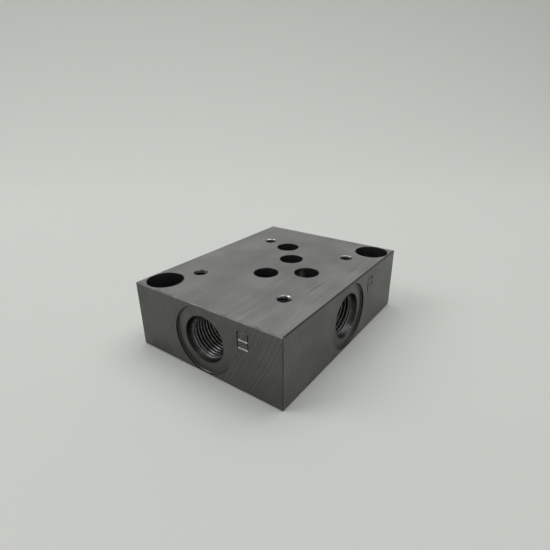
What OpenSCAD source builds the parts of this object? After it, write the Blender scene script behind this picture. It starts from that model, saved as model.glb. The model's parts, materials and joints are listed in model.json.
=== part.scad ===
// Hydraulic valve subplate: one machined iron block. A size 05 directional valve bolts to its
// ground top face, and drilled galleries lead the valve's four ports to threaded ports in the
// four sides. X runs along the block, Y across it, Z up; the origin is the middle of the base.

/* [Block] */
// Length of the block, along X
block_l = 101; // [90:0.5:160]
// Width of the block, along Y
block_w = 77.5; // [76:0.5:120]
// Height of the block, along Z
block_h = 31; // [30:0.5:60]
// Chamfer on the four upright edges
upright_chamfer = 0.3; // [0.2:0.1:2]
// Chamfer round the top face and the base
rim_chamfer = 0.5; // [0.2:0.1:1]

/* [Valve bolts] */
// Distance between the valve bolts along the block
bolt_spacing_l = 54; // [46:0.5:70]
// Distance between the valve bolts across the block
bolt_spacing_w = 46; // [40:0.5:60]
// Tapping drill for the valve bolts
bolt_drill_d = 5.1; // [4:0.1:8]
// Depth of the tapping drill, to the shoulder of its point
bolt_drill_depth = 16; // [8:0.5:20]
// Countersink at the mouth of each bolt hole
bolt_sink_d = 6.5; // [6:0.1:9]

/* [Valve ports] */
// Bore of the four ports under the valve
valve_port_d = 11.2; // [8:0.1:12]
// Distance of the pressure port from the middle, towards the front side
port_p_y = 16.7; // [14:0.1:20]
// Distance of each work port from the middle, along the block
port_ab_x = 10.3; // [8:0.1:14]
// Distance of both work ports from the middle, towards the front side
port_ab_y = 1.6; // [0:0.1:3]
// Distance of the tank port from the middle, along the block
port_t_x = 23.8; // [20:0.1:26]
// Distance of the tank port from the middle, towards the back side
port_t_y = 9.5; // [8:0.1:12]
// Edge break at the mouth of each drilled hole
hole_break = 0.1; // [0.05:0.05:0.5]

/* [Side ports] */
// Spot face round each side port
spot_d = 30.2; // [26:0.1:34]
// Depth of the spot face
spot_depth = 1; // [0.5:0.1:1.6]
// Corner left by the cutter between the wall and the floor of the spot face
spot_corner = 0.3; // [0.1:0.1:0.4]
// Mouth of the seal seat in the spot face
seat_d = 20.6; // [20:0.1:22]
// Length of the tapered seal seat
seat_depth = 2.5; // [1.5:0.1:3]
// Taper of the seal seat from the port's axis, in degrees
seat_angle = 15; // [8:1:20]
// Tapping drill of the side ports
port_drill_d = 17.46; // [15:0.01:18.5]
// Depth of that drill below the spot face, to the shoulder of its point
port_drill_depth = 17.5; // [14:0.5:22]
// Distance of the tank's side port from the middle, along the block
tank_port_x = 12; // [8:0.5:14]

/* [Galleries] */
// Drill of the galleries that join valve ports and side ports
gallery_d = 8.5; // [6:0.1:9.5]
// Least wall between the galleries of the work ports and the tank port's bore
gallery_wall = 2.4; // [1.5:0.1:3]
// How far each valve port is drilled past the underside of its gallery
drill_past = 0.75; // [0.2:0.05:1.5]

/* [Mounting screws] */
// Distance of each screw hole from the two sides nearest to it
screw_edge = 8.9; // [8.5:0.1:12]
// Clearance hole for each screw
screw_hole_d = 10.3; // [8:0.1:12]
// Counterbore for the head of each screw
head_bore_d = 16; // [14:0.1:16.6]
// Depth of the counterbore
head_bore_depth = 10; // [6:0.5:14]

/* [Hidden] */
$fn = 96;
// Included angle of a drill's point
point_angle = 118;
// How far each tool starts outside the block
over = 1;

// Height of the side ports and the galleries
port_z = block_h / 2;
// Plan of the galleries of the work ports: beside the tank port's bore with a wall between
gallery_y = port_t_y - valve_port_d / 2 - gallery_wall - gallery_d / 2;
// Depth of a valve port, to the shoulder of its drill's point
valve_port_depth = block_h - port_z + gallery_d / 2 + drill_past;
// Depth of the side ports below the block's side, to the shoulder of the drill's point
side_port_depth = spot_depth + port_drill_depth;
// Plan of the screw holes, on the diagonal from the left end at the back to the right end in front
screw_x = block_l / 2 - screw_edge;
screw_y = block_w / 2 - screw_edge;

// Places in plan of the holes in the top face
valve_ports = [
    [0, -port_p_y],
    [-port_ab_x, -port_ab_y],
    [port_ab_x, -port_ab_y],
    [port_t_x, port_t_y]
];
valve_bolts = [for (x = [-1, 1], y = [-1, 1]) [x * bolt_spacing_l / 2, y * bolt_spacing_w / 2]];
mounting_screws = [[-screw_x, screw_y], [screw_x, -screw_y]];

// Length of the point of a drill
function point_length(d) = d / 2 / tan(point_angle / 2);

// Rectangle centred on the origin with its corners cut off
module chamfered_rectangle(l, w, c) {
    polygon([
        [-l / 2 + c, -w / 2], [l / 2 - c, -w / 2],
        [l / 2, -w / 2 + c], [l / 2, w / 2 - c],
        [l / 2 - c, w / 2], [-l / 2 + c, w / 2],
        [-l / 2, w / 2 - c], [-l / 2, -w / 2 + c]
    ]);
}

// Milled block with all its edges chamfered
module blank() {
    intersection() {
        linear_extrude(block_h) chamfered_rectangle(block_l, block_w, upright_chamfer);
        translate([0, block_w / 2, block_h / 2])
            rotate([90, 0, 0])
                linear_extrude(block_w) chamfered_rectangle(block_l, block_h, rim_chamfer);
        translate([-block_l / 2, 0, block_h / 2])
            rotate([90, 0, 90])
                linear_extrude(block_l) chamfered_rectangle(block_w, block_h, rim_chamfer);
    }
}

// Blind hole down from z = 0 with a pointed end and a countersink of diameter sink_d
module blind_hole(d, depth, sink_d) {
    sink = (sink_d - d) / 2;
    rotate_extrude()
        polygon([
            [0, over], [sink_d / 2 + over, over],
            [d / 2, -sink], [d / 2, -depth],
            [0, -depth - point_length(d)]
        ]);
}

// Hole for a mounting screw down from z = 0: counterbore, clearance hole, broken edges
module screw_hole() {
    head_r = head_bore_d / 2;
    hole_r = screw_hole_d / 2;
    rotate_extrude()
        polygon([
            [0, over], [head_r + hole_break + over, over],
            [head_r, -hole_break], [head_r, -head_bore_depth],
            [hole_r, -head_bore_depth], [hole_r, -block_h + hole_break],
            [hole_r + hole_break + over, -block_h - over], [0, -block_h - over]
        ]);
}

// Straight-thread port down from z = 0: spot face, tapered seal seat, lead-in and tapping drill
module side_port() {
    spot_r = spot_d / 2;
    seat_r = seat_d / 2;
    drill_r = port_drill_d / 2;
    seat_end_r = seat_r - seat_depth * tan(seat_angle);
    seat_end = spot_depth + seat_depth;
    lead_in = seat_end_r - drill_r;
    rotate_extrude()
        polygon([
            [0, over], [spot_r, over],
            [spot_r, spot_corner - spot_depth], [spot_r - spot_corner, -spot_depth],
            [seat_r, -spot_depth],
            [seat_end_r, -seat_end], [drill_r, -seat_end - lead_in],
            [drill_r, -side_port_depth],
            [0, -side_port_depth - point_length(port_drill_d)]
        ]);
}

// Horizontal gallery at port height between two places in plan
module gallery(from, to) {
    run = to - from;
    translate([from.x, from.y, port_z])
        rotate([0, 90, atan2(run.y, run.x)])
            cylinder(d = gallery_d, h = norm(run));
}

// Side ports: work ports at both ends, pressure in front, tank at the back
module side_ports() {
    translate([-block_l / 2, 0, port_z]) rotate([0, -90, 0]) side_port();
    translate([block_l / 2, 0, port_z]) rotate([0, 90, 0]) side_port();
    translate([0, -block_w / 2, port_z]) rotate([90, 0, 0]) side_port();
    translate([tank_port_x, block_w / 2, port_z]) rotate([-90, 0, 0]) side_port();
}

// Galleries: straight from the work and pressure ports, slanted through the tank's side port
module galleries() {
    inside = port_drill_depth / 2;
    end_x = block_l / 2 - side_port_depth + inside;
    side_y = block_w / 2 - side_port_depth + inside;
    tank_shift = (port_drill_d - gallery_d) / 2;
    mouth = [tank_port_x - tank_shift, block_w / 2];
    tank = [port_t_x, port_t_y];
    slope = (tank - mouth) / (block_w / 2 - port_t_y);
    gallery([-end_x, gallery_y], [-port_ab_x, gallery_y]);
    gallery([end_x, gallery_y], [port_ab_x, gallery_y]);
    gallery([0, -side_y], [0, -port_p_y]);
    gallery(mouth + slope * (block_w / 2 - side_y), tank);
}

// The subplate: one block with its ports, galleries, bolt holes and screw holes
module subplate_body() {
    color([0.32, 0.32, 0.31])
        difference() {
            blank();
            side_ports();
            galleries();
            for (at = valve_ports)
                translate([at.x, at.y, block_h])
                    blind_hole(valve_port_d, valve_port_depth, valve_port_d + 2 * hole_break);
            for (at = valve_bolts)
                translate([at.x, at.y, block_h])
                    blind_hole(bolt_drill_d, bolt_drill_depth, bolt_sink_d);
            for (at = mounting_screws)
                translate([at.x, at.y, block_h]) screw_hole();
        }
}

subplate_body();
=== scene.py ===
import json
import math

import bmesh
import bpy
from mathutils import Matrix, Vector


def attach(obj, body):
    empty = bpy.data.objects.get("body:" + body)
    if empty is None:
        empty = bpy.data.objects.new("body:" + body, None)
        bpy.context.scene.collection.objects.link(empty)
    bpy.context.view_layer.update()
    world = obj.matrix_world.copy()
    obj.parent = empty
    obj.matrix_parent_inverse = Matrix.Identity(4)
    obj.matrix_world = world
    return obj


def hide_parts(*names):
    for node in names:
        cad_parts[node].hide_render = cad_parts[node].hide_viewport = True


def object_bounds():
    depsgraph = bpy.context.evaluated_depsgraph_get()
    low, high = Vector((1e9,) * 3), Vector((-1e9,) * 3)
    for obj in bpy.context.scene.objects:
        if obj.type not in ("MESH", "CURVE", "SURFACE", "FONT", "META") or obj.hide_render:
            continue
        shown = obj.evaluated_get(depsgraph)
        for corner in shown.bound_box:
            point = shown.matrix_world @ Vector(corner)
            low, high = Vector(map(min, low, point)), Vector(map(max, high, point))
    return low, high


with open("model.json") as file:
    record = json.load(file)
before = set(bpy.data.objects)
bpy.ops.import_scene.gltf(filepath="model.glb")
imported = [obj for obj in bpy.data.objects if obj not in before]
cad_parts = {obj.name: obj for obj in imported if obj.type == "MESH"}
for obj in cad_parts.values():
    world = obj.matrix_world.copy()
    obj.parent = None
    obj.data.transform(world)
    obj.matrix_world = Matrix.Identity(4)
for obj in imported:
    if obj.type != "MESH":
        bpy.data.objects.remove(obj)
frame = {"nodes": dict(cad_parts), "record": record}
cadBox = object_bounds()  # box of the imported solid
low, high = cadBox
scene = bpy.context.scene
mounts = {mount["name"]: mount for mount in frame["record"]["mounts"]}
print("frame loaded:", ", ".join(frame["nodes"]))


def mm(value):  # mm to metres
    return value * 0.001


def toMm(value):
    return value * 1000


inch = 25.4  # mm
tiny = mm(0.001)  # points nearer than this are one point


def addNode(tree, kind, inputs=None, **settings):
    made = tree.nodes.new(kind)
    for key, value in settings.items():
        setattr(made, key, value)
    for key, value in (inputs or {}).items():
        if isinstance(value, bpy.types.NodeSocket):
            tree.links.new(value, made.inputs[key])
        else:
            made.inputs[key].default_value = value
    return made


def calc(tree, operation, first, second=0.0, third=0.0):
    used = {0: first, 1: second, 2: third}
    return addNode(tree, "ShaderNodeMath", used, operation=operation).outputs[0]


def ramp(tree, value, fromMin, fromMax, toMin, toMax):  # straight, held at both ends
    used = {"Value": value, "From Min": fromMin, "From Max": fromMax, "To Min": toMin, "To Max": toMax}
    return addNode(tree, "ShaderNodeMapRange", used, clamp=True).outputs["Result"]


def tint(tree, amount, dark, light):
    used = {0: amount, 6: (*dark, 1), 7: (*light, 1)}
    return addNode(tree, "ShaderNodeMix", used, data_type="RGBA").outputs[2]


# camera, fitted to the corners of the block and the holes of its top face
lensView = {
    "eye": (-140.9, -101.4, 101.8),  # mm
    "azimuth": -54.02,
    "elevation": 23.68,
    "roll": -0.57,
    "focal": 25.87,
    "sensor": 36.0,
    "nearest": 10,
}


def makeCamera(view):
    around, above = math.radians(view["azimuth"]), math.radians(view["elevation"])
    level = Vector((math.sin(around), -math.cos(around), 0))
    back = level * math.cos(above) + Vector((0, 0, math.sin(above)))
    lean = Matrix.Rotation(math.radians(view["roll"]), 3, "Z")
    turn = (-back).to_track_quat("-Z", "Y").to_matrix() @ lean
    camera = bpy.data.objects.new("photoCamera", bpy.data.cameras.new("photoCamera"))
    camera.data.sensor_width = view["sensor"]
    camera.data.lens = view["focal"]
    camera.data.clip_start = mm(view["nearest"])
    camera.matrix_world = Matrix.Translation(Vector(view["eye"]) * mm(1)) @ turn.to_4x4()
    scene.collection.objects.link(camera)
    scene.camera = camera


makeCamera(lensView)
print("camera placed")


# pale sweep: a floor that curves up into a wall behind the block
sweep = {
    "front": -900,  # mm, along the camera's line of sight
    "bend": 330,
    "bendRadius": 420,
    "wallTop": 1500,
    "halfWidth": 850,
    "bendSteps": 32,
    "colour": (0.615, 0.63, 0.595),
    "rough": 0.9,
    "gloss": 0.1,
}


def makeSweep(sizes):
    sight = math.radians(lensView["azimuth"])
    ahead = Vector((-math.sin(sight), math.cos(sight), 0))
    across = Vector((ahead.y, -ahead.x, 0))
    radius = sizes["bendRadius"]
    steps = [math.radians(90) * step / sizes["bendSteps"] for step in range(sizes["bendSteps"] + 1)]
    profile = [(sizes["front"], 0)]
    profile += [(sizes["bend"] + radius * math.sin(a), radius - radius * math.cos(a)) for a in steps]
    profile += [(sizes["bend"] + radius, sizes["wallTop"])]
    verts = []
    for along, height in profile:
        for side in (-sizes["halfWidth"], sizes["halfWidth"]):
            verts.append((ahead * along + across * side + Vector((0, 0, height))) * mm(1))
    faces = [(2 * n, 2 * n + 1, 2 * n + 3, 2 * n + 2) for n in range(len(profile) - 1)]
    mesh = bpy.data.meshes.new("sweep")
    mesh.from_pydata(verts, [], faces)
    mesh.shade_smooth()
    cloth = bpy.data.materials.new("paleSweep")
    cloth.use_nodes = True
    skin = cloth.node_tree.nodes["Principled BSDF"]
    skin.inputs["Base Color"].default_value = (*sizes["colour"], 1)
    skin.inputs["Roughness"].default_value = sizes["rough"]
    skin.inputs["Specular IOR Level"].default_value = sizes["gloss"]
    mesh.materials.append(cloth)
    floor = bpy.data.objects.new("sweep", mesh)
    scene.collection.objects.link(floor)


makeSweep(sweep)


# one wide soft panel overhead and a window at the back on the left; the room itself sheds little light
lamps = {
    "panel": {"towards": (0.22, -0.03, 1.0), "distance": 1500, "size": 1600, "watts": 21.5},  # mm
    "window": {"towards": (-0.46, 0.56, 0.69), "distance": 1500, "size": 800, "watts": 7.0},
}
room = {"dim": (0.06, 0.06, 0.06), "pale": (0.56, 0.57, 0.545)}  # pale where it shows or is mirrored


def makeLight(sizes, walls):
    for name, lamp in sizes.items():
        data = bpy.data.lights.new(name, "AREA")
        data.size = mm(lamp["size"])
        data.energy = lamp["watts"]
        away = Vector(lamp["towards"]).normalized()
        made = bpy.data.objects.new(name, data)
        made.location = away * mm(lamp["distance"])
        made.rotation_euler = away.to_track_quat("Z", "Y").to_euler()
        scene.collection.objects.link(made)
    world = bpy.data.worlds.new("room")
    world.use_nodes = True
    tree = world.node_tree
    ray = addNode(tree, "ShaderNodeLightPath").outputs
    mirrored = calc(tree, "MAXIMUM", ray["Is Glossy Ray"], ray["Is Transmission Ray"])
    shown = calc(tree, "MAXIMUM", ray["Is Camera Ray"], mirrored)
    tree.links.new(tint(tree, shown, walls["dim"], walls["pale"]), tree.nodes["Background"].inputs["Color"])
    scene.world = world
    scene.view_settings.view_transform = "Standard"


makeLight(lamps, room)
print("sweep and light placed")


# finishes
def startFinish(name):
    finish = bpy.data.materials.new(name)
    finish.use_nodes = True
    tree = finish.node_tree
    skin = tree.nodes["Principled BSDF"]
    skin.inputs["Metallic"].default_value = 1.0
    place = addNode(tree, "ShaderNodeTexCoord").outputs["Object"]
    inMm = addNode(tree, "ShaderNodeVectorMath", {0: place, "Scale": toMm(1)}, operation="SCALE").outputs[0]
    return finish, tree, skin, inMm


def cloud(tree, place, scale, detail=3.0, stretch=(1, 1, 1)):  # soft noise round a half
    moved = addNode(tree, "ShaderNodeMapping", {"Vector": place, "Scale": stretch}).outputs[0]
    used = {"Vector": moved, "Scale": scale, "Detail": detail, "Roughness": 0.5}
    return addNode(tree, "ShaderNodeTexNoise", used).outputs[0]


def lines(tree, phase):  # uneven lines across a running phase
    used = {"W": phase, "Scale": 1.0, "Detail": 2.0, "Roughness": 0.6}
    return addNode(tree, "ShaderNodeTexNoise", used, noise_dimensions="1D").outputs[0]


def spread(tree, noise, reach, toMin, toMax):  # noise within reach of a half, spread over a range
    return ramp(tree, noise, 0.5 - reach, 0.5 + reach, toMin, toMax)


def blend(tree, first, second, share):  # share is the second's
    return calc(tree, "MULTIPLY_ADD", second, share, calc(tree, "MULTIPLY", first, 1 - share))


def relief(tree, skin, height, depth):  # depth in mm for a height from 0 to 1
    used = {"Height": height, "Distance": mm(depth), "Strength": 1.0}
    tree.links.new(addNode(tree, "ShaderNodeBump", used).outputs[0], skin.inputs["Normal"])


def grey(level, tone=(1, 1, 1)):
    return tuple(level * part for part in tone)


ironTone = (0.99, 1, 0.92)  # milled and turned faces are a little warm

groundLook = {
    "dark": 0.232,
    "light": 0.335,
    "smooth": 0.34,
    "dull": 0.46,
    "grit": 0.004,  # mm
    "blotch": 0.045,  # scale of the stains
    "streak": (0.035, 1.6, 1),  # the grinding runs along the block
    "streakShare": 0.35,
    "reach": 0.15,  # noise as far as this from a half is darkest or lightest
    "glossReach": 0.2,
}


def groundFinish(look):
    finish, tree, skin, place = startFinish("groundFace")
    blotch = cloud(tree, place, look["blotch"], detail=4)
    streak = cloud(tree, place, 1.0, stretch=look["streak"])
    shade = spread(tree, blend(tree, blotch, streak, look["streakShare"]), look["reach"], 0, 1)
    tree.links.new(tint(tree, shade, grey(look["dark"]), grey(look["light"])), skin.inputs["Base Color"])
    gloss = spread(tree, streak, look["glossReach"], look["smooth"], look["dull"])
    tree.links.new(gloss, skin.inputs["Roughness"])
    relief(tree, skin, streak, look["grit"])
    return finish


milledLook = {
    "dark": 0.097,
    "light": 0.178,
    "shade": {"a": 1.0, "b": 0.91, "p": 1.1, "t": 1.0},  # painted light and shade: a factor per side, above one for a side that should look lit, below one for a side that should look shaded
    "tone": ironTone,
    "smooth": 0.40,
    "dull": 0.54,
    "groove": 0.012,  # mm
    "cutter": 160,  # radius of the face mill
    "centre": 88,  # height of its middle
    "feed": 0.55,
    "trailShare": 0.25,  # marks of the mill's trailing edge
    "patch": 0.07,
    "patchShare": 0.3,
    "reach": 0.13,
    "glossReach": 0.2,
}


def milledFinish(letter, look, right):  # arcs left by a face mill; right is the way along the side
    finish, tree, skin, place = startFinish("milledSide_" + letter)
    shadow = addNode(tree, "ShaderNodeVectorMath", {0: place, 1: right}, operation="DOT_PRODUCT")
    along = shadow.outputs["Value"]
    height = addNode(tree, "ShaderNodeSeparateXYZ", {0: place}).outputs["Z"]
    rise = calc(tree, "SUBTRACT", height, look["centre"])
    squared = calc(tree, "SUBTRACT", look["cutter"] ** 2, calc(tree, "MULTIPLY", rise, rise))
    bulge = calc(tree, "SQRT", squared)
    leading = lines(tree, calc(tree, "DIVIDE", calc(tree, "SUBTRACT", along, bulge), look["feed"]))
    trailing = lines(tree, calc(tree, "DIVIDE", calc(tree, "ADD", along, bulge), look["feed"]))
    marks = blend(tree, leading, trailing, look["trailShare"])
    patch = cloud(tree, place, look["patch"], detail=4)
    shade = spread(tree, blend(tree, marks, patch, look["patchShare"]), look["reach"], 0, 1)
    # painted light and shade: the side's levels are scaled by its factor
    dark = grey(look["dark"] * look["shade"][letter], look["tone"])
    light = grey(look["light"] * look["shade"][letter], look["tone"])
    tree.links.new(tint(tree, shade, dark, light), skin.inputs["Base Color"])
    gloss = spread(tree, marks, look["glossReach"], look["dull"], look["smooth"])
    tree.links.new(gloss, skin.inputs["Roughness"])
    relief(tree, skin, marks, look["groove"])
    return finish


spotLook = {
    "dark": 0.083,
    "light": 0.15,
    "tone": ironTone,
    "smooth": 0.30,
    "dull": 0.42,
    "groove": 0.025,  # mm
    "feed": 0.4,
    "patch": 0.12,
    "patchShare": 0.4,
    "reach": 0.16,
    "glossReach": 0.2,
    "rimStart": 14.4,  # painted shade: the face darkens towards its wall
    "rimEnd": 14.85,
    "rimShade": 0.6,
}


def spotFinish(name, look, centre, flat):  # rings round a port; flat is the axis the face is square to
    finish, tree, skin, place = startFinish(name)
    used = {"Vector": place, "Location": [-value for value in centre]}
    moved = addNode(tree, "ShaderNodeMapping", used).outputs[0]
    kept = addNode(tree, "ShaderNodeVectorMath", {0: moved, 1: flat}, operation="MULTIPLY").outputs[0]
    radius = addNode(tree, "ShaderNodeVectorMath", {0: kept}, operation="LENGTH").outputs["Value"]
    rings = lines(tree, calc(tree, "DIVIDE", radius, look["feed"]))
    patch = cloud(tree, place, look["patch"])
    shade = spread(tree, blend(tree, rings, patch, look["patchShare"]), look["reach"], 0, 1)
    dark, light = grey(look["dark"], look["tone"]), grey(look["light"], look["tone"])
    face = tint(tree, shade, dark, light)
    # painted shade: the face's colour is scaled down near its wall
    rim = ramp(tree, radius, look["rimStart"], look["rimEnd"], 1, look["rimShade"])
    dimmed = addNode(tree, "ShaderNodeVectorMath", {0: face, "Scale": rim}, operation="SCALE").outputs[0]
    tree.links.new(dimmed, skin.inputs["Base Color"])
    gloss = spread(tree, rings, look["glossReach"], look["dull"], look["smooth"])
    tree.links.new(gloss, skin.inputs["Roughness"])
    relief(tree, skin, rings, look["groove"])
    return finish


plainReach = 0.15


def plainFinish(name, look):  # cloudy metal for bores, threads, seats, edges and marks
    finish, tree, skin, place = startFinish(name)
    patch = cloud(tree, place, look["scale"], detail=4)
    shade = spread(tree, patch, plainReach, 0, 1)
    tree.links.new(tint(tree, shade, grey(look["dark"]), grey(look["light"])), skin.inputs["Base Color"])
    gloss = spread(tree, patch, plainReach, look["dull"], look["smooth"])
    tree.links.new(gloss, skin.inputs["Roughness"])
    relief(tree, skin, patch, look["grit"])
    return finish


boreLook = {"dark": 0.085, "light": 0.15, "smooth": 0.34, "dull": 0.46, "scale": 0.6, "grit": 0.01}
# painted shade: port threads are darker than the bore they are cut in, for the shade inside the ports
threadShadeLook = {"dark": 0.065, "light": 0.12, "smooth": 0.18, "dull": 0.26, "scale": 0.8, "grit": 0.006}
# painted shade: threads of the bolt holes are darker than the port threads, for the shade down the narrow
# holes
boltShadeLook = {"dark": 0.025, "light": 0.045, "smooth": 0.26, "dull": 0.36, "scale": 0.8, "grit": 0.006}
# painted shade: the seat cone is darker than the bore it leads into, for the shade inside the port
seatShadeLook = {"dark": 0.04, "light": 0.06, "smooth": 0.34, "dull": 0.42, "scale": 0.5, "grit": 0.003}
# painted shade: chamfers, spot walls and one countersink are darker than the steel they are cut in
edgeShadeLook = {"dark": 0.055, "light": 0.075, "smooth": 0.30, "dull": 0.38, "scale": 0.2, "grit": 0.01}
sinkLook = {"dark": 0.23, "light": 0.32, "smooth": 0.26, "dull": 0.34, "scale": 0.8, "grit": 0.006}
# painted shade: the stem strokes of the letters are much darker than their bar strokes
strokeShadeLook = {"dark": 0.022, "light": 0.042, "smooth": 0.26, "dull": 0.34, "scale": 0.9, "grit": 0.006}
barLook = {"dark": 0.07, "light": 0.115, "smooth": 0.20, "dull": 0.26, "scale": 0.9, "grit": 0.006}


# side ports: axis points out of the block, mouth lies on the block's side
portSizes = {"spotDepth": 1.0, "spotRadius": 15.1, "seatDepth": 2.5}


def portMouth(name):
    mount = mounts[name]
    axis = Vector(mount["axis"])
    place = Vector(mount["pos_m"])
    for n in range(3):
        if abs(axis[n]) > 0.5:
            place[n] = high[n] if axis[n] > 0 else low[n]
    return place, axis


def rightOf(axis):  # the way to the right for someone who faces a side
    return Vector((0, 0, 1)).cross(axis)


ports = {name[-1]: portMouth(name) for name in mounts if name.startswith("side_port_")}

boltDims = mounts["valve_bolts"]["dims"]
boltHoles = []  # mouths of the valve-bolt holes, with the way out
for x in (-0.5, 0.5):
    for y in (-0.5, 0.5):
        place = Vector((mm(x * boltDims["spacing_x_mm"]), mm(y * boltDims["spacing_y_mm"]), high.z))
        boltHoles.append((place, Vector((0, 0, 1))))
shadedSinkHole = boltHoles[1]  # at the back on the left; painted shade: its countersink takes the dark edge finish

finishes = {
    "ground": groundFinish(groundLook),
    "bore": plainFinish("drilledBore", boreLook),
    "seat": plainFinish("seatPaintedShade", seatShadeLook),
    "edge": plainFinish("brokenEdge", edgeShadeLook),
    "sink": plainFinish("countersink", sinkLook),
    "thread": plainFinish("portThread", threadShadeLook),
    "bolt": plainFinish("boltThread", boltShadeLook),
    "stem": plainFinish("letterStrokeShade", strokeShadeLook),
    "bar": plainFinish("letterBar", barLook),
}
for letter, (mouth, axis) in ports.items():
    square = [0.0 if abs(value) > 0.5 else 1.0 for value in axis]
    finishes["milled_" + letter] = milledFinish(letter, milledLook, rightOf(axis))
    finishes["spot_" + letter] = spotFinish("turnedSpot_" + letter, spotLook, toMm(mouth), square)
print("finishes made:", len(finishes))


# block: a copy of the solid, each face given its finish
faceRules = {
    "touch": 0.01,  # mm, as near as this counts as there
    "square": 0.999,  # share of a normal along the axis it is square to
    "slantMin": 0.6,  # chamfers, edge breaks and countersinks lean about half way
    "slantMax": 0.8,
    "rim": 1.1,  # mm, how near the outside they lie
    "sink": 4,  # mm, how near a bolt hole its countersink lies
}


def isAt(value, wanted):
    return abs(value - wanted) < mm(faceRules["touch"])


def isSlanted(value):
    return faceRules["slantMin"] < abs(value) < faceRules["slantMax"]


def portFinish(centre, normal):  # sides of the block, spot faces and seats
    touch = faceRules["touch"]
    seatEnd = portSizes["spotDepth"] + portSizes["seatDepth"]
    for letter, (mouth, axis) in ports.items():
        depth = (mouth - centre).dot(axis)
        out = centre - mouth + axis * depth  # from the port's axis
        square = normal.dot(axis) > faceRules["square"]
        if square and isAt(depth, 0):
            return "milled_" + letter
        inPort = out.length < mm(portSizes["spotRadius"] + touch) and normal.dot(out) < tiny
        if inPort and mm(touch) < depth < mm(seatEnd):
            if depth > mm(portSizes["spotDepth"] + touch):
                return "seat"
            return "spot_" + letter if square else "edge"
    return ""


def finishOf(centre, normal):
    if abs(normal.z) > faceRules["square"] and (isAt(centre.z, high.z) or isAt(centre.z, low.z)):
        return "ground"
    atPort = portFinish(centre, normal)
    if atPort:
        return atPort
    slants = [value for value in normal if isSlanted(value)]
    inside = min(high.x - abs(centre.x), high.y - abs(centre.y), high.z - centre.z, centre.z - low.z)
    if (len(slants) == 2 or isSlanted(normal.z)) and inside < mm(faceRules["rim"]):
        nearest = min(boltHoles, key=lambda hole: (centre - hole[0]).length)
        # countersinks take the sink finish, except the one given painted shade through the edge finish
        isBright = (centre - nearest[0]).length < mm(faceRules["sink"]) and nearest != shadedSinkHole
        return "sink" if isBright else "edge"
    return "bore"


def makeBlock(name):
    mesh = bpy.data.meshes.new(name)
    shell = bmesh.new()
    shell.from_mesh(frame["nodes"]["subplate_body"].data)
    bmesh.ops.remove_doubles(shell, verts=shell.verts, dist=tiny)
    shell.to_mesh(mesh)
    shell.free()
    if "custom_normal" in mesh.attributes:
        mesh.attributes.remove(mesh.attributes["custom_normal"])
    mesh.materials.clear()
    order = list(finishes)
    for key in order:
        mesh.materials.append(finishes[key])
    for face in mesh.polygons:
        face.material_index = order.index(finishOf(face.center, face.normal))
    block = bpy.data.objects.new(name, mesh)
    scene.collection.objects.link(block)
    return block


def bakeMesh(holder):  # evaluated result as a plain mesh
    seen = bpy.context.evaluated_depsgraph_get()
    plain = bpy.data.meshes.new_from_object(holder.evaluated_get(seen))
    holder.modifiers.clear()
    holder.data = plain
    return holder


def runTree(name, mesh, tree, values):
    holder = bpy.data.objects.new(name, mesh)
    scene.collection.objects.link(holder)
    step = holder.modifiers.new(tree.name, "NODES")
    step.node_group = tree
    for item in tree.interface.items_tree:
        if item.item_type == "SOCKET" and item.in_out == "INPUT" and item.name in values:
            step[item.identifier] = values[item.name]
    return bakeMesh(holder)


def cutWith(block, cutter):
    step = block.modifiers.new("cut", "BOOLEAN")
    step.operation = "DIFFERENCE"
    step.solver = "EXACT"
    step.material_mode = "TRANSFER"
    step.object = cutter
    bakeMesh(block)
    bpy.data.objects.remove(cutter)


cleaning = {
    "together": 0.005,  # mm, what counts as one point
    "flat": 0.002,  # mm, what counts as no width
    "sharp": 30,  # degrees, what shows as an edge
}


def cleanMesh(block, sizes):  # takes out the slivers that cutting leaves
    shell = bmesh.new()
    shell.from_mesh(block.data)
    bmesh.ops.remove_doubles(shell, verts=shell.verts, dist=mm(sizes["together"]))
    bmesh.ops.dissolve_degenerate(shell, edges=shell.edges, dist=mm(sizes["flat"]))
    bmesh.ops.triangulate(shell, faces=shell.faces)
    shell.to_mesh(block.data)
    shell.free()
    block.data.shade_smooth()
    block.data.set_sharp_from_angle(angle=math.radians(sizes["sharp"]))


def startTree(name, sizes):
    tree = bpy.data.node_groups.new(name, "GeometryNodeTree")
    tree.interface.new_socket("Geometry", in_out="INPUT", socket_type="NodeSocketGeometry")
    for key, kind in sizes.items():
        tree.interface.new_socket(key, in_out="INPUT", socket_type="NodeSocket" + kind)
    tree.interface.new_socket("Geometry", in_out="OUTPUT", socket_type="NodeSocketGeometry")
    return tree, addNode(tree, "NodeGroupInput").outputs


def endTree(tree, geometry, finish):
    real = addNode(tree, "GeometryNodeRealizeInstances", {0: geometry}).outputs[0]
    dressed = addNode(tree, "GeometryNodeSetMaterial", {"Geometry": real, "Material": finish}).outputs[0]
    addNode(tree, "NodeGroupOutput", {0: dressed})


# threads: a tap for each hole, a grid rolled into a screw and stood on points at the mouths
threadForm = {
    "rows": 6,  # of the grid for one turn: foot, break and root on both flanks
    "flank": 30,  # degrees
    "crestBreak": 60,
    "halfRoot": 1 / 16,  # of the pitch
    "spare": 2,  # turns past the ends, half at each, pressed flat there
}


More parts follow.
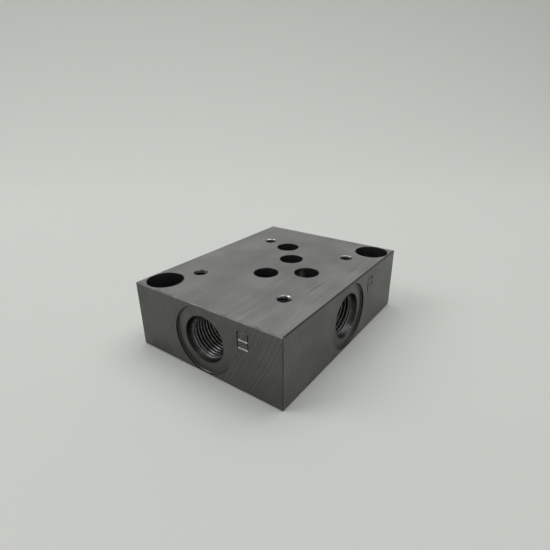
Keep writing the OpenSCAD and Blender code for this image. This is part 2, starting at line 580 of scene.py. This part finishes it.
def tapTree(form):
    sizes = {"Pitch": "Float", "Major Radius": "Float", "Break Radius": "Float", "Foot Radius": "Float",
             "Length": "Float", "Lead": "Float", "Run Out": "Float", "Around": "Int", "Finish": "Material"}
    tree, given = startTree("tap", sizes)
    pitch, major, foot = given["Pitch"], given["Major Radius"], given["Foot Radius"]
    whole = calc(tree, "CEIL", calc(tree, "DIVIDE", given["Length"], pitch))
    turns = calc(tree, "ADD", whole, form["spare"])
    rows = calc(tree, "MULTIPLY_ADD", turns, form["rows"], 1)  # with a cap at each end
    used = {"Size X": 1, "Size Y": 1, "Vertices X": calc(tree, "ADD", given["Around"], 1),
            "Vertices Y": calc(tree, "ADD", rows, 1)}
    grid = addNode(tree, "GeometryNodeMeshGrid", used).outputs["Mesh"]
    flat = addNode(tree, "GeometryNodeInputPosition").outputs[0]
    onGrid = addNode(tree, "ShaderNodeSeparateXYZ", {0: flat}).outputs
    share = calc(tree, "ADD", onGrid["X"], 0.5)  # of a turn
    row = calc(tree, "ROUND", calc(tree, "MULTIPLY", calc(tree, "ADD", onGrid["Y"], 0.5), rows))
    thread = calc(tree, "SUBTRACT", row, 1)
    turn = calc(tree, "FLOOR", calc(tree, "DIVIDE", thread, form["rows"]))
    inTurn = calc(tree, "SUBTRACT", thread, calc(tree, "MULTIPLY", turn, form["rows"]))
    step = calc(tree, "SUBTRACT", inTurn, (form["rows"] - 1) / 2)  # from the middle of the root
    atRoot = calc(tree, "LESS_THAN", calc(tree, "ABSOLUTE", step), 1)  # the two middle rows
    atFoot = calc(tree, "GREATER_THAN", calc(tree, "ABSOLUTE", step), 2)  # the two outer rows
    depth = calc(tree, "SUBTRACT", major, given["Break Radius"])
    flank = calc(tree, "MULTIPLY", depth, math.tan(math.radians(form["flank"])))
    below = calc(tree, "SUBTRACT", given["Break Radius"], foot)
    slope = calc(tree, "MULTIPLY", below, math.tan(math.radians(form["crestBreak"])))
    offRoot = calc(tree, "SUBTRACT", 1, atRoot)
    offset = calc(tree, "MULTIPLY_ADD", offRoot, flank, calc(tree, "MULTIPLY", pitch, form["halfRoot"]))
    offset = calc(tree, "MULTIPLY_ADD", atFoot, slope, offset)
    offset = calc(tree, "MULTIPLY", offset, calc(tree, "SIGN", step))
    climb = calc(tree, "SUBTRACT", calc(tree, "ADD", turn, share), form["spare"] / 2)
    height = calc(tree, "MULTIPLY_ADD", climb, pitch, offset)
    height = calc(tree, "MINIMUM", calc(tree, "MAXIMUM", height, 0), given["Length"])
    left = calc(tree, "SUBTRACT", given["Length"], height)
    fade = calc(tree, "MULTIPLY", ramp(tree, height, 0, given["Lead"], 0, 1),
                ramp(tree, left, 0, given["Run Out"], 0, 1))
    broken = calc(tree, "MULTIPLY", calc(tree, "SUBTRACT", 1, atFoot), below)
    lift = calc(tree, "MULTIPLY_ADD", atRoot, depth, broken)
    radius = calc(tree, "MULTIPLY_ADD", lift, fade, foot)
    inside = calc(tree, "MULTIPLY", calc(tree, "GREATER_THAN", row, 0.5),
                  calc(tree, "LESS_THAN", row, calc(tree, "SUBTRACT", rows, 0.5)))
    radius = calc(tree, "MULTIPLY", radius, inside)
    angle = calc(tree, "MULTIPLY", share, 2 * math.pi)
    used = {0: calc(tree, "MULTIPLY", radius, calc(tree, "COSINE", angle)),
            1: calc(tree, "MULTIPLY", radius, calc(tree, "SINE", angle)), 2: height}
    rolled = addNode(tree, "ShaderNodeCombineXYZ", used).outputs[0]
    used = {"Geometry": grid, "Position": rolled}
    loose = addNode(tree, "GeometryNodeSetPosition", used).outputs[0]
    used = {"Geometry": loose, "Distance": tiny}
    screw = addNode(tree, "GeometryNodeMergeByDistance", used).outputs[0]
    used = {"Name": "inward"}
    inward = addNode(tree, "GeometryNodeInputNamedAttribute", used, data_type="FLOAT_VECTOR").outputs[0]
    used = {"Vector": inward}
    turned = addNode(tree, "FunctionNodeAlignRotationToVector", used, axis="Z").outputs[0]
    used = {"Points": given["Geometry"], "Instance": screw, "Rotation": turned}
    stood = addNode(tree, "GeometryNodeInstanceOnPoints", used).outputs[0]
    endTree(tree, stood, given["Finish"])
    return tree


portThread = {
    "pitch": inch / 16,  # mm
    "major": 9.525,
    "break": 8.82,
    "foot": 8.68,
    "start": 2.44,  # below the mouth
    "length": 15.4,
    "lead": 0.6,
    "runOut": 2.6,
    "around": 72,  # points of a turn
}
boltThread = {
    "pitch": inch / 20,
    "major": 3.175,
    "break": 2.61,
    "foot": 2.5,
    "start": 0.1,
    "length": 14.6,
    "lead": 0.5,
    "runOut": 2.6,
    "around": 40,
}


def cutThreads(block, name, tree, sizes, holes, finish):  # holes are mouths with the way out
    mesh = bpy.data.meshes.new(name)
    mesh.from_pydata([mouth - axis * mm(sizes["start"]) for mouth, axis in holes], [], [])
    inward = mesh.attributes.new("inward", "FLOAT_VECTOR", "POINT")
    for point, (mouth, axis) in zip(inward.data, holes):
        point.vector = -axis
    values = {"Pitch": mm(sizes["pitch"]), "Length": mm(sizes["length"]), "Lead": mm(sizes["lead"]),
              "Major Radius": mm(sizes["major"]), "Break Radius": mm(sizes["break"]),
              "Foot Radius": mm(sizes["foot"]), "Run Out": mm(sizes["runOut"]),
              "Around": sizes["around"], "Finish": finish}
    cutWith(block, runTree(name, mesh, tree, values))


# letters of the ports, engraved to the right of each port with a pointed cutter
letterSizes = {
    "wide": 4.8,  # mm
    "tall": 6.8,
    "left": 18.6,  # from the port's axis
    "base": 19.8,  # above the block's base
    "cutter": 0.32,
    "sides": 4,
    "corner": 0.6,
    "cornerSteps": 5,
}
letterStrokes = {  # corners as shares of the letter's width and height
    "b": {"stem": [[(0, 0), (0, 1), (1, 1), (1, 0)]], "bar": [[(0, 0), (1, 0)], [(0, 0.5), (1, 0.5)]]},
    "p": {"stem": [[(0, 0), (0, 1), (1, 1), (1, 0.45)]], "bar": [[(0, 0.45), (1, 0.45)]]},
    "a": {"stem": [[(0, 0), (0.5, 1), (1, 0)]], "bar": [[(0.18, 0.36), (0.82, 0.36)]]},
    "t": {"stem": [[(0.5, 1), (0.5, 0)]], "bar": [[(0, 1), (1, 1)]]},
}


def strokeTree():
    sizes = {"Cutter": "Float", "Sides": "Int", "Corner": "Float", "Corner Steps": "Int",
             "Finish": "Material"}
    tree, given = startTree("stroke", sizes)
    path = addNode(tree, "GeometryNodeMeshToCurve", {0: given["Geometry"]}).outputs[0]
    used = {"Curve": path, "Radius": given["Corner"], "Limit Radius": True, "Count": given["Corner Steps"]}
    path = addNode(tree, "GeometryNodeFilletCurve", used, mode="POLY").outputs[0]
    used = {"Resolution": given["Sides"], "Radius": given["Cutter"]}
    tip = addNode(tree, "GeometryNodeCurvePrimitiveCircle", used).outputs[0]
    used = {"Curve": path, "Profile Curve": tip, "Fill Caps": True}
    swept = addNode(tree, "GeometryNodeCurveToMesh", used).outputs[0]
    endTree(tree, swept, given["Finish"])
    return tree


def cutLetters(block, tree, sizes, part):  # part is stem or bar; stems take painted shade
    verts, edges = [], []
    for letter, strokes in letterStrokes.items():
        mouth, axis = ports[letter]
        right = rightOf(axis)
        start = mouth + right * mm(sizes["left"])
        start.z = low.z + mm(sizes["base"])
        for points in strokes[part]:
            edges += [(len(verts) + n, len(verts) + n + 1) for n in range(len(points) - 1)]
            for x, y in points:
                verts.append(start + right * mm(x * sizes["wide"]) + Vector((0, 0, mm(y * sizes["tall"]))))
    mesh = bpy.data.meshes.new("strokes")
    mesh.from_pydata(verts, edges, [])
    values = {"Cutter": mm(sizes["cutter"]), "Sides": sizes["sides"], "Corner": mm(sizes["corner"]),
              "Corner Steps": sizes["cornerSteps"], "Finish": finishes[part]}
    cutWith(block, runTree("strokes", mesh, tree, values))


block = makeBlock("machinedBlock")
print("block copied:", len(block.data.polygons), "faces")

tap = tapTree(threadForm)
cutThreads(block, "portTaps", tap, portThread, list(ports.values()), finishes["thread"])
cutThreads(block, "boltTaps", tap, boltThread, boltHoles, finishes["bolt"])
print("threads cut:", len(block.data.polygons), "faces")

stroke = strokeTree()
for part in ("stem", "bar"):
    cutLetters(block, stroke, letterSizes, part)
print("letters cut:", len(block.data.polygons), "faces")

cleanMesh(block, cleaning)
print("block cleaned:", len(block.data.polygons), "triangles")
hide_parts("subplate_body")
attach(block, "root")
